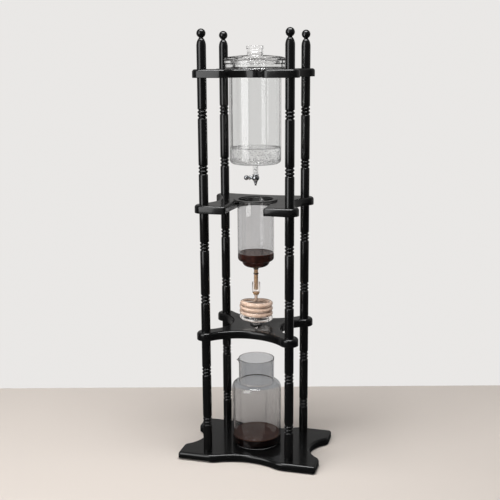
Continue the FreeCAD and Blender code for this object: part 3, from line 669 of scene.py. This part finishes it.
def top_board():
    """The vessel's shelf, with a round hole and a shallow hollow in its front edge."""
    bottom = level("top_shelf", 0)
    start, front = hollow_moves((-FRONT_RUN_END, FRONT_Y), (0, FRONT_Y + 38.0),
                                (FRONT_RUN_END, FRONT_Y), (0, 1), 19.0)
    piece = block_board("top_board", bottom, start, front)
    board_from_outline(piece, bottom, TOP_TOP, SHELF_EDGE, SHELF_FOOT_EDGE)
    bored(piece, VESSEL_HOLE_R, bottom, TOP_TOP, 1.0)
    fit(piece, "stand", "black_wood", BOARD_WOOD, "top_shelf")


# ---------------------------------------------------------------- water vessel, lid and tap

RIM = level("vessel_lid", 1) - 37.5
VESSEL_BOTTOM = RIM - 22.0 - 253.0
STEM_END = VESSEL_BOTTOM - 34.5
WATER_LEVEL = 877.0
VESSEL_R = 70.0
VESSEL_BORE_R = 67.4
TAP_CENTRE = STEM_END + 4.5 - 9.6


def water_vessel():
    """The glass cylinder, hung by its thick rolled collar, with the outlet stem under its floor."""
    inner = VESSEL_BORE_R
    turned("water_vessel_blown", [
        (inner, RIM, 0), (81.8, RIM, 2.0), (81.8, RIM - 7.5, 2.0), (79.6, RIM - 9.5, 1.0),
        (79.6, TOP_TOP + 2.0, 1.5), (81.2, TOP_TOP, 0.6), (VESSEL_R, TOP_TOP, 0),
        (VESSEL_R, VESSEL_BOTTOM, 12.0),
        (12.0, VESSEL_BOTTOM, 0), (7.3, VESSEL_BOTTOM - 1.5, 3.0), (7.3, STEM_END, 0.5),
        (3.0, STEM_END, 0.5), (3.0, VESSEL_BOTTOM + 4.0, 2.0), (inner, VESSEL_BOTTOM + 4.0, 9.0),
        (inner, RIM, 0)], 128, segments=6)
    fit(bpy.context.object, "vessel", "glass", VESSEL_GLASS, "water_vessel")
    water = turned("water", [
        (0, WATER_LEVEL, 0), (inner - 2.4, WATER_LEVEL, 1.8), (inner + 0.12, WATER_LEVEL + 1.6, 0),
        (inner + 0.12, VESSEL_BOTTOM + 3.9, 9.0), (3.1, VESSEL_BOTTOM + 3.9, 2.0), (3.1, STEM_END + 0.2, 0),
        (0, STEM_END + 0.2, 0)], 128, segments=6)
    fit(water, "vessel", "glass", WATER)


def vessel_lid():
    """The glass lid: a thick disc with a plug ring below and a spool-shaped knob."""
    top = RIM + 13.5
    knob = top + 24.0
    lid = turned("vessel_lid_pressed", [
        (0, RIM + 4.5, 0), (61.0, RIM + 4.5, 2.0), (62.4, RIM - 9.0, 0.8), (66.4, RIM - 9.0, 0.8),
        (66.4, RIM, 0.8), (81.8, RIM, 1.2), (81.8, RIM + 6.0, 2.5), (70.0, top - 3.5, 6.0), (30.0, top, 8.0),
        (21.6, top, 1.6), (21.6, top + 4.5, 1.0), (20.4, top + 5.8, 0.8), (20.4, top + 7.2, 0.8),
        (21.6, top + 8.5, 1.0), (21.6, top + 13.0, 1.0), (20.6, top + 14.6, 0.8), (23.3, top + 17.0, 1.2),
        (23.3, knob, 2.2),
        (15.0, knob, 3.0), (12.0, knob - 1.5, 2.0), (0, knob - 1.5, 0)], 128, segments=5)
    fit(lid, "lid", "glass", LID_GLASS, "vessel_lid")


def laid_left(piece):
    """Lay a piece that was turned upright along -X from the tap's centre."""
    all_off()
    piece.select_set(True)
    bpy.context.view_layer.objects.active = piece
    piece.rotation_euler = (0, -math.pi / 2, 0)
    piece.location = (0, 0, TAP_CENTRE * MM)
    bpy.ops.object.transform_apply(location=True, rotation=True)
    return piece


def tap():
    """The chromed tap: a ringed body under the stem, an arm with its gland, a ball knob and a tip."""
    tip_top = TAP_CENTRE - 9.6
    ball = [(10.2 * math.cos(math.radians(turn)), TAP_CENTRE + 9.4 * math.sin(math.radians(turn)), 0)
            for turn in range(45, -61, -7)]
    body = turned("tap_body_turned", [
        (0, STEM_END, 0), (7.35, STEM_END, 0), (7.35, TAP_CENTRE + 9.6, 0), (9.1, TAP_CENTRE + 9.6, 0.5),
        (9.1, TAP_CENTRE + 8.0, 0.5), (7.9, TAP_CENTRE + 7.4, 0.3)] + ball + [
        (5.0, tip_top + 0.6, 0.2), (5.6, tip_top, 0.2), (1.2, tip_top, 0), (1.2, STEM_END - 0.8, 0),
        (0, STEM_END - 0.8, 0)], 64)
    arm = laid_left(turned("tap_arm", [
        (2.05, 2.0, 0), (4.4, 2.0, 0), (4.4, 11.4, 0.3), (3.7, 12.0, 0.3), (3.7, 13.6, 0.3), (4.4, 14.2, 0.3),
        (4.4, 15.0, 0.3), (2.05, 15.0, 0),
        (2.05, 2.0, 0)], 48))
    knob = laid_left(turned("tap_knob_turned", [
        (2.05, 19.6, 0), (3.6, 19.6, 0.5), (3.6, 20.8, 0.5), (2.9, 21.4, 0.3)] + ball_profile(6.9, 26.0, 3.0)
        + [(0, 23.8, 0), (2.05, 23.8, 0), (2.05, 19.6, 0)], 48))
    tip = turned("drip_tip_turned", [
        (1.2, tip_top, 0), (5.6, tip_top, 0.3), (5.2, tip_top - 2.2, 0.8), (3.6, tip_top - 3.0, 0.6),
        (4.3, tip_top - 4.4, 0.8), (4.3, tip_top - 5.6, 0.8), (2.9, tip_top - 6.6, 0.5),
        (2.6, tip_top - 11.0, 0.4), (1.2, tip_top - 11.0, 0), (1.2, tip_top, 0)], 48)
    fit(body, "vessel", "chrome", CHROME, "tap_body")
    fit(arm, "vessel", "chrome", CHROME, "tap_body")
    fit(knob, "knob", "chrome", CHROME, "tap_knob")
    fit(tip, "vessel", "chrome", CHROME, "drip_tip")


def ball_profile(radius, centre, neck_radius):
    """Profile of a ball from its neck round to its pole."""
    first = -math.acos(neck_radius / radius)
    points = []
    for i in range(17):
        angle = first + (math.pi / 2 - first) * i / 16
        points.append((max(0.0, radius * math.cos(angle)), centre + radius * math.sin(angle), 0))
    return points


# ---------------------------------------------------------------- grounds chamber

CHAMBER_STEP = MIDDLE_TOP - 164.0
CUP_TOP = CHAMBER_STEP - 11.0
CHAMBER_BOTTOM = CUP_TOP - 11.0
CHAMBER_STEM_END = CHAMBER_BOTTOM - 66.0
GROUNDS_LEVEL = 585.0


def grounds_chamber():
    """The flanged glass cylinder with its stepped foot, the coffee that stands in it and its filter."""
    wall = 2.2
    glass = turned("grounds_chamber_blown", [
        (48.1, MIDDLE_TOP + 4.5, 1.0), (60.5, MIDDLE_TOP + 4.5, 1.5), (60.5, MIDDLE_TOP, 0.6),
        (50.3, MIDDLE_TOP, 0), (50.3, CHAMBER_STEP - 3.0, 6.5), (38.4, CHAMBER_STEP - 6.0, 2.2),
        (37.4, CUP_TOP - 4.0, 6.0), (26.0, CHAMBER_BOTTOM, 5.0), (9.0, CHAMBER_BOTTOM, 0),
        (6.0, CHAMBER_BOTTOM - 2.5, 2.0), (6.0, CHAMBER_STEM_END, 0.4), (3.5, CHAMBER_STEM_END, 0.4),
        (3.5, CHAMBER_BOTTOM + wall, 0), (25.0, CHAMBER_BOTTOM + wall, 4.0), (35.2, CUP_TOP - 3.0, 4.5),
        (36.2, CHAMBER_STEP - 4.0, 2.2), (48.1, CHAMBER_STEP - 1.0, 4.8), (48.1, MIDDLE_TOP + 3.0, 0),
        (48.1, MIDDLE_TOP + 4.5, 0)], 128, segments=6)
    fit(glass, "chamber", "glass", CHAMBER_GLASS, "grounds_chamber")
    brew = turned("chamber_coffee", [
        (0, GROUNDS_LEVEL, 0), (46.0, GROUNDS_LEVEL, 1.5), (48.2, GROUNDS_LEVEL + 1.2, 0),
        (48.2, CHAMBER_STEP - 1.1, 4.8), (36.3, CHAMBER_STEP - 4.1, 2.2), (35.3, CUP_TOP - 3.1, 4.5),
        (25.0, CHAMBER_BOTTOM + wall - 0.1, 4.0), (3.5, CHAMBER_BOTTOM + wall - 0.1, 0),
        (0, CHAMBER_BOTTOM + wall - 0.1, 0)], 96, segments=6)
    fit(brew, "chamber", "glass", DARK_COFFEE)
    drip = turned("stem_coffee", [
        (0, CHAMBER_BOTTOM + wall - 0.2, 0), (3.6, CHAMBER_BOTTOM + wall - 0.2, 0),
        (3.6, CHAMBER_STEM_END + 0.5, 0),
        (2.8, CHAMBER_STEM_END - 1.2, 0.8), (0, CHAMBER_STEM_END - 2.3, 0)], 48)
    fit(drip, "chamber", "glass", AMBER)
    plate = turned("filter_plate", [
        (0, CHAMBER_STEP, 0), (43.2, CHAMBER_STEP, 1.0), (46.6, CHAMBER_STEP + 3.4, 1.2),
        (46.6, CHAMBER_STEP + 5.0, 0.7), (0, CHAMBER_STEP + 5.0, 0)], 96)
    fit(plate, "chamber", "filter", FILTER, "filter_disc")
    for index, height in enumerate((CHAMBER_BOTTOM - 5.0, CHAMBER_BOTTOM - 19.0)):
        ring = turned("stem_ring_" + str(index + 1), [
            (6.02, height, 0), (7.2, height, 0.8), (7.2, height - 3.4, 0.8), (6.02, height - 3.4, 0),
            (6.02, height, 0)], 48)
        fit(ring, "chamber", "silicone", SILICONE)


# ---------------------------------------------------------------- cooling coil

COIL_R = 40.4
TUBE_R = 6.6
PITCH = 14.0
COIL_START = 215.0
COIL_END = 1475.0
LEAD_R = 4.8
BEND = 9.0
BELL_TOP = level("coil_bell", 1)
BELL_FOOT = level("coil_bell", 0)
SEAT = level("coil_outlet", 1) - 4.0


def coil_level(angle):
    """Height of the coil's centre line, which falls as the angle grows."""
    return LOWER_TOP + 23.6 + PITCH * (1350.0 - angle) / 360.0


def wound(name, start, end, radius, flat_ends):
    """A tube wound about the axis from one angle to another, its ends rounded in."""
    all_off()
    bpy.ops.mesh.primitive_circle_add(vertices=24, radius=radius * MM, location=(COIL_R * MM, 0, 0),
                                      rotation=(math.pi / 2, 0, 0))
    piece = bpy.context.object
    piece.name = name
    piece.data.name = name
    bpy.ops.object.transform_apply(location=True, rotation=True)
    turn = piece.modifiers.new("turns", "SCREW")
    turn.axis = "Z"
    turn.angle = math.radians(end - start)
    turn.screw_offset = -PITCH * MM * (end - start) / 360.0
    turn.steps = int((end - start) / 4)
    turn.render_steps = turn.steps
    turn.use_normal_calculate = True
    bpy.ops.object.modifier_apply(modifier="turns")
    piece.rotation_euler = (0, 0, math.radians(start))
    piece.location = (0, 0, coil_level(start) * MM)
    bpy.ops.object.transform_apply(location=True, rotation=True)
    bpy.ops.object.mode_set(mode="EDIT")
    bpy.ops.mesh.select_mode(type="VERT")
    for angle in (start, end):
        centre = Vector((COIL_R * math.cos(math.radians(angle)), COIL_R * math.sin(math.radians(angle)),
                         coil_level(angle))) * MM
        way = Vector((-math.sin(math.radians(angle)), math.cos(math.radians(angle)), 0))
        way *= -1 if angle == start else 1
        pick(piece, "VERT", lambda v: abs((v.co - centre).dot(way)) < 1e-5 and
             (v.co - centre).length < 1.05 * radius * MM)
        for share in (0.0,) if flat_ends else (0.5, 0.35, 0.15):
            bpy.ops.mesh.extrude_region_move(TRANSFORM_OT_translate={"value": way * radius * MM * share})
            bpy.ops.transform.resize(value=(0.92 - 0.3 * (0.5 - share),) * 3)
        bpy.ops.mesh.merge(type="CENTER")
    bpy.ops.mesh.select_all(action="SELECT")
    bpy.ops.mesh.normals_make_consistent(inside=False)
    bpy.ops.object.mode_set(mode="OBJECT")
    bpy.ops.object.shade_smooth_by_angle(angle=math.radians(50))
    return piece


def lead(name, merge_angle, hand, far_level, radius):
    """A tube from the axis to the coil: upright, a bend, and an arc that runs into the turns."""
    small = (COIL_R ** 2 - BEND ** 2) / (2 * COIL_R)
    lean = math.atan2(small, BEND)
    turn = math.radians(merge_angle) - hand * lean
    outward = Vector((math.cos(turn), math.sin(turn), 0))
    across = Vector((-math.sin(turn), math.cos(turn), 0))
    near_level = coil_level(merge_angle)
    rise = math.copysign(1, far_level - near_level)
    all_off()
    bpy.ops.mesh.primitive_circle_add(vertices=24, radius=radius * MM, fill_type="NGON",
                                      location=(0, 0, far_level * MM))
    piece = bpy.context.object
    piece.name = name
    piece.data.name = name
    bpy.ops.object.transform_apply(location=True)
    bpy.ops.object.mode_set(mode="EDIT")
    bpy.ops.mesh.select_all(action="SELECT")
    draw(0, 0, near_level + rise * BEND - far_level)
    bend_centre = outward * BEND * MM + Vector((0, 0, (near_level + rise * BEND) * MM))
    bpy.ops.mesh.spin(steps=14, angle=math.pi / 2 * rise, center=bend_centre, axis=across)
    arc_centre = outward * BEND * MM + across * hand * small * MM + Vector((0, 0, near_level * MM))
    merge = Vector((COIL_R * math.cos(math.radians(merge_angle)),
                    COIL_R * math.sin(math.radians(merge_angle)), near_level)) * MM
    first = (outward * BEND * MM + Vector((0, 0, near_level * MM)) - arc_centre).xy
    last = (merge - arc_centre).xy
    sweep = (math.atan2(last.y, last.x) - math.atan2(first.y, first.x)) % (2 * math.pi)
    if hand < 0:
        sweep -= 2 * math.pi
    bpy.ops.mesh.spin(steps=32, angle=-sweep, center=arc_centre, axis=(0, 0, 1))
    bpy.ops.mesh.select_all(action="SELECT")
    bpy.ops.mesh.remove_doubles(threshold=1e-7)
    bpy.ops.mesh.normals_make_consistent(inside=False)
    bpy.ops.object.mode_set(mode="OBJECT")
    bpy.ops.object.shade_smooth_by_angle(angle=math.radians(40))
    return piece


def cooling_coil():
    """The glass coil with the coffee in it, the bell on top and the outlet leg in its bush."""
    turns = wound("coil_turns", COIL_START, COIL_END, TUBE_R, False)
    inlet = lead("coil_inlet", COIL_START, 1, BELL_FOOT, LEAD_R)
    outlet = lead("coil_drain", COIL_END, -1, SEAT + 4.0, LEAD_R)
    for piece in (turns, inlet, outlet):
        fit(piece, "coil", "glass", COIL_GLASS, "condenser_coil")
    fit(wound("coil_coffee", COIL_START + 3, 1170.0, 5.5, False), "coil", "glass", THREAD)
    fit(lead("inlet_coffee", COIL_START + 3, 1, BELL_FOOT + 2.0, 2.4), "coil", "glass", THREAD)
    bell = turned("coil_bell_blown", [
        (0, BELL_FOOT, 0), (LEAD_R, BELL_FOOT, 0), (11.2, BELL_FOOT + 11.0, 5.0),
        (11.2, BELL_TOP, 0.6), (9.7, BELL_TOP, 0.6), (9.7, BELL_FOOT + 11.5, 4.0),
        (2.0, BELL_FOOT + 3.0, 2.0), (0, BELL_FOOT + 3.0, 0)], 64)
    fit(bell, "coil", "glass", COIL_GLASS, "coil_bell")
    pool = turned("bell_coffee", [
        (0, BELL_FOOT + 2.9, 0), (2.1, BELL_FOOT + 2.9, 2.0), (9.6, BELL_FOOT + 8.8, 1.0),
        (9.8, BELL_FOOT + 10.0, 0), (0, BELL_FOOT + 10.0, 0)], 64)
    fit(pool, "coil", "glass", AMBER)
    end = level("coil_outlet", 0)
    leg = turned("coil_outlet_blown", [
        (3.0, end, 0.4), (LEAD_R, end, 0.6), (LEAD_R, SEAT, 0), (12.0, SEAT, 1.0), (12.0, SEAT + 4.0, 1.2),
        (LEAD_R + 0.6, SEAT + 4.0, 1.0), (3.0, SEAT + 4.0, 0), (3.0, end, 0)], 48)
    fit(leg, "coil", "glass", COIL_GLASS, "coil_outlet")
    low = level("coil_bush", 0)
    bush = turned("coil_bush_moulded", [
        (5.1, low, 0.5), (13.0, low, 0.5), (13.0, LOWER_TOP, 0), (17.0, LOWER_TOP, 0.3),
        (17.0, LOWER_TOP + 2.0, 0.9), (5.1, LOWER_TOP + 2.0, 0.5), (5.1, low, 0)], 64)
    fit(bush, "stand", "silicone", SILICONE, "coil_bush")


# ---------------------------------------------------------------- carafe

COFFEE_LEVEL = 52.0
CARAFE_RIM = level("carafe", 1)
CARAFE_SHOULDER = 186.0
SPOUT_TURN = math.radians(30)


def carafe():
    """The smoked jug: a thick foot, a round shoulder, a wide neck and a beak pulled from the lip."""
    z = BASE_TOP
    shoulder = z + CARAFE_SHOULDER
    jug = turned("carafe_blown", [
        (0, z + 1.5, 0), (52.0, z + 1.2, 3.0), (58.0, z, 2.0), (70.5, z, 9.0), (70.5, shoulder, 19.0),
        (50.2, shoulder, 2.5), (50.2, CARAFE_RIM - 8.0, 4.0), (51.0, CARAFE_RIM, 0.9),
        (48.7, CARAFE_RIM, 0.9), (47.8, CARAFE_RIM - 8.0, 4.0), (47.8, shoulder - 2.4, 3.5),
        (68.1, shoulder - 2.4, 16.5), (68.1, z + 5.0, 9.0), (0, z + 5.0, 0)], 144, segments=10)
    bpy.ops.object.mode_set(mode="EDIT")
    aim = Vector((-math.cos(SPOUT_TURN), -math.sin(SPOUT_TURN), 0))
    pick(jug, "VERT", lambda v: v.co.z > (CARAFE_RIM - 1.2) * MM and
         v.co.xy.normalized().dot(aim.xy) > math.cos(math.radians(2.0)))
    bpy.ops.transform.translate(value=aim * 7.4 * MM, use_proportional_edit=True,
                                proportional_edit_falloff="SHARP", proportional_size=0.015)
    bpy.ops.object.mode_set(mode="OBJECT")
    fit(jug, "carafe", "glass", CARAFE_GLASS, "carafe")
    brew = turned("carafe_coffee", [
        (0, COFFEE_LEVEL, 0), (66.0, COFFEE_LEVEL, 1.5), (68.2, COFFEE_LEVEL + 1.2, 0),
        (68.2, z + 4.9, 9.0), (0, z + 4.9, 0)], 128, segments=8)
    fit(brew, "carafe", "glass", BREW)


stand_posts()
finials()
base_board()
star_board()
middle_board()
top_board()
water_vessel()
vessel_lid()
tap()
grounds_chamber()
cooling_coil()
carafe()
for name, finish in (("foot_pads", RUBBER), ("tap_gland", CHROME), ("tap_needle", CHROME)):
    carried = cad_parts[name]
    carried.data.materials.clear()
    carried.data.materials.append(finish)


# ---------------------------------------------------------------- floor, backdrop, light and camera

YAW = math.radians(15.187)
PITCH_DOWN = math.radians(12.132)
ROLL = math.radians(-0.345)
EYE = Vector((0.6082, -2.3035, 1.1045))
ROOM = (0.82, 0.805, 0.79)
MIRRORED_SHARE = 0.3


def pale_stage(name, colour, shown):
    """A plain matt finish, dim in reflections; where shown is given, that flat colour is seen instead."""
    finish, tree, shader = new_finish(name)
    path = node(tree, "ShaderNodeLightPath").outputs
    mirrored = reckon(tree, "SUBTRACT", path["Is Glossy Ray"], path["Is Transmission Ray"], True)
    feed(tree, shader.inputs["Base Color"], mixed(tree, mirrored, (*colour, 1), (0.05, 0.05, 0.05, 1)))
    shader.inputs["Roughness"].default_value = 0.9
    shader.inputs["Specular IOR Level"].default_value = 0.1
    if shown:
        seen = reckon(tree, "MAXIMUM", path["Is Camera Ray"],
                      reckon(tree, "MULTIPLY", path["Is Glossy Ray"], MIRRORED_SHARE))
        seen = reckon(tree, "MAXIMUM", seen, path["Is Transmission Ray"])
        glow = node(tree, "ShaderNodeEmission", Strength=1.0)
        glow.inputs["Color"].default_value = (*shown, 1)
        mix = node(tree, "ShaderNodeMixShader")
        tree.links.new(seen, mix.inputs["Fac"])
        tree.links.new(shader.outputs["BSDF"], mix.inputs[1])
        tree.links.new(glow.outputs["Emission"], mix.inputs[2])
        tree.links.new(mix.outputs["Shader"], tree.nodes["Material Output"].inputs["Surface"])
    return finish


def stage():
    """A pale table, square to the camera, with a pale wall behind it."""
    sight = Vector((-math.sin(YAW), math.cos(YAW), 0))
    edge = EYE + sight * 2.875
    all_off()
    bpy.ops.mesh.primitive_plane_add(size=1.0, rotation=(0, 0, YAW))
    table = bpy.context.object
    table.name = "table_top"
    table.scale = (9.0, 4.6, 1.0)
    table.location = (edge.x - sight.x * 2.3, edge.y - sight.y * 2.3, 0)
    bpy.ops.object.transform_apply(location=True, rotation=True, scale=True)
    table.data.materials.append(pale_stage("pale table", (0.665, 0.605, 0.555), None))
    bpy.ops.mesh.primitive_plane_add(size=1.0, rotation=(math.pi / 2, 0, YAW))
    wall = bpy.context.object
    wall.name = "pale_wall"
    wall.scale = (24.0, 12.0, 1.0)
    wall.location = (edge.x + sight.x * 4.0, edge.y + sight.y * 4.0, 1.0)
    bpy.ops.object.transform_apply(location=True, rotation=True, scale=True)
    wall.data.materials.append(pale_stage("pale wall", (0.80, 0.79, 0.78), ROOM))


def soft_box(name, place, aim, size_x, size_y, power):
    """A soft rectangular lamp at place, facing aim."""
    all_off()
    bpy.ops.object.light_add(type="AREA", location=place)
    lamp = bpy.context.object
    lamp.name = name
    lamp.data.shape = "RECTANGLE"
    lamp.data.size = size_x
    lamp.data.size_y = size_y
    lamp.data.energy = power
    lamp.rotation_euler = (Vector(aim) - Vector(place)).to_track_quat("-Z", "Y").to_euler()


def studio():
    """Even soft light, stronger from the left, and a room that is pale behind and dim in front."""
    soft_box("left_window", (-1.22, -1.92, 1.35), (0, 0, 0.6), 1.5, 2.5, 38)
    soft_box("top_panel", (0.1, -0.5, 3.0), (0, 0, 0.5), 2.0, 0.9, 82)
    world = bpy.data.worlds.new("studio")
    bpy.context.scene.world = world
    world.use_nodes = True
    tree = world.node_tree
    sky = tree.nodes["Background"]
    place = node(tree, "ShaderNodeTexCoord")
    parts = node(tree, "ShaderNodeSeparateXYZ")
    tree.links.new(place.outputs["Generated"], parts.inputs["Vector"])
    depth = node(tree, "ShaderNodeMapRange")
    depth.inputs["From Min"].default_value = -0.1
    depth.inputs["From Max"].default_value = 0.5
    tree.links.new(parts.outputs["Y"], depth.inputs["Value"])
    path = node(tree, "ShaderNodeLightPath").outputs
    seen = reckon(tree, "MAXIMUM", path["Is Camera Ray"], path["Is Transmission Ray"])
    behind = reckon(tree, "MULTIPLY", path["Is Glossy Ray"], depth.outputs["Result"])
    inside = reckon(tree, "MAXIMUM", reckon(tree, "MULTIPLY", behind, MIRRORED_SHARE),
                    reckon(tree, "MULTIPLY", path["Transmission Depth"], 0.5))
    share = reckon(tree, "MAXIMUM", seen, inside, True)
    feed(tree, sky.inputs["Color"], mixed(tree, share, (0.10, 0.10, 0.10, 1), (*ROOM, 1)))


def camera():
    """The photograph's viewpoint: from the right of the front, looking a little down."""
    back = Vector((math.sin(YAW) * math.cos(PITCH_DOWN), -math.cos(YAW) * math.cos(PITCH_DOWN),
                   math.sin(PITCH_DOWN)))
    level_right = Vector((math.cos(YAW), math.sin(YAW), 0))
    level_up = back.cross(level_right)
    right = level_right * math.cos(ROLL) + level_up * math.sin(ROLL)
    up = level_up * math.cos(ROLL) - level_right * math.sin(ROLL)
    bpy.ops.object.camera_add()
    eye = bpy.context.object
    eye.matrix_world = Matrix.Translation(EYE) @ Matrix((right, up, back)).transposed().to_4x4()
    eye.data.sensor_width = 36.0
    eye.data.sensor_fit = "HORIZONTAL"
    eye.data.lens = 63.03
    bpy.context.scene.camera = eye


stage()
studio()
camera()
bpy.context.scene.view_settings.view_transform = "Standard"
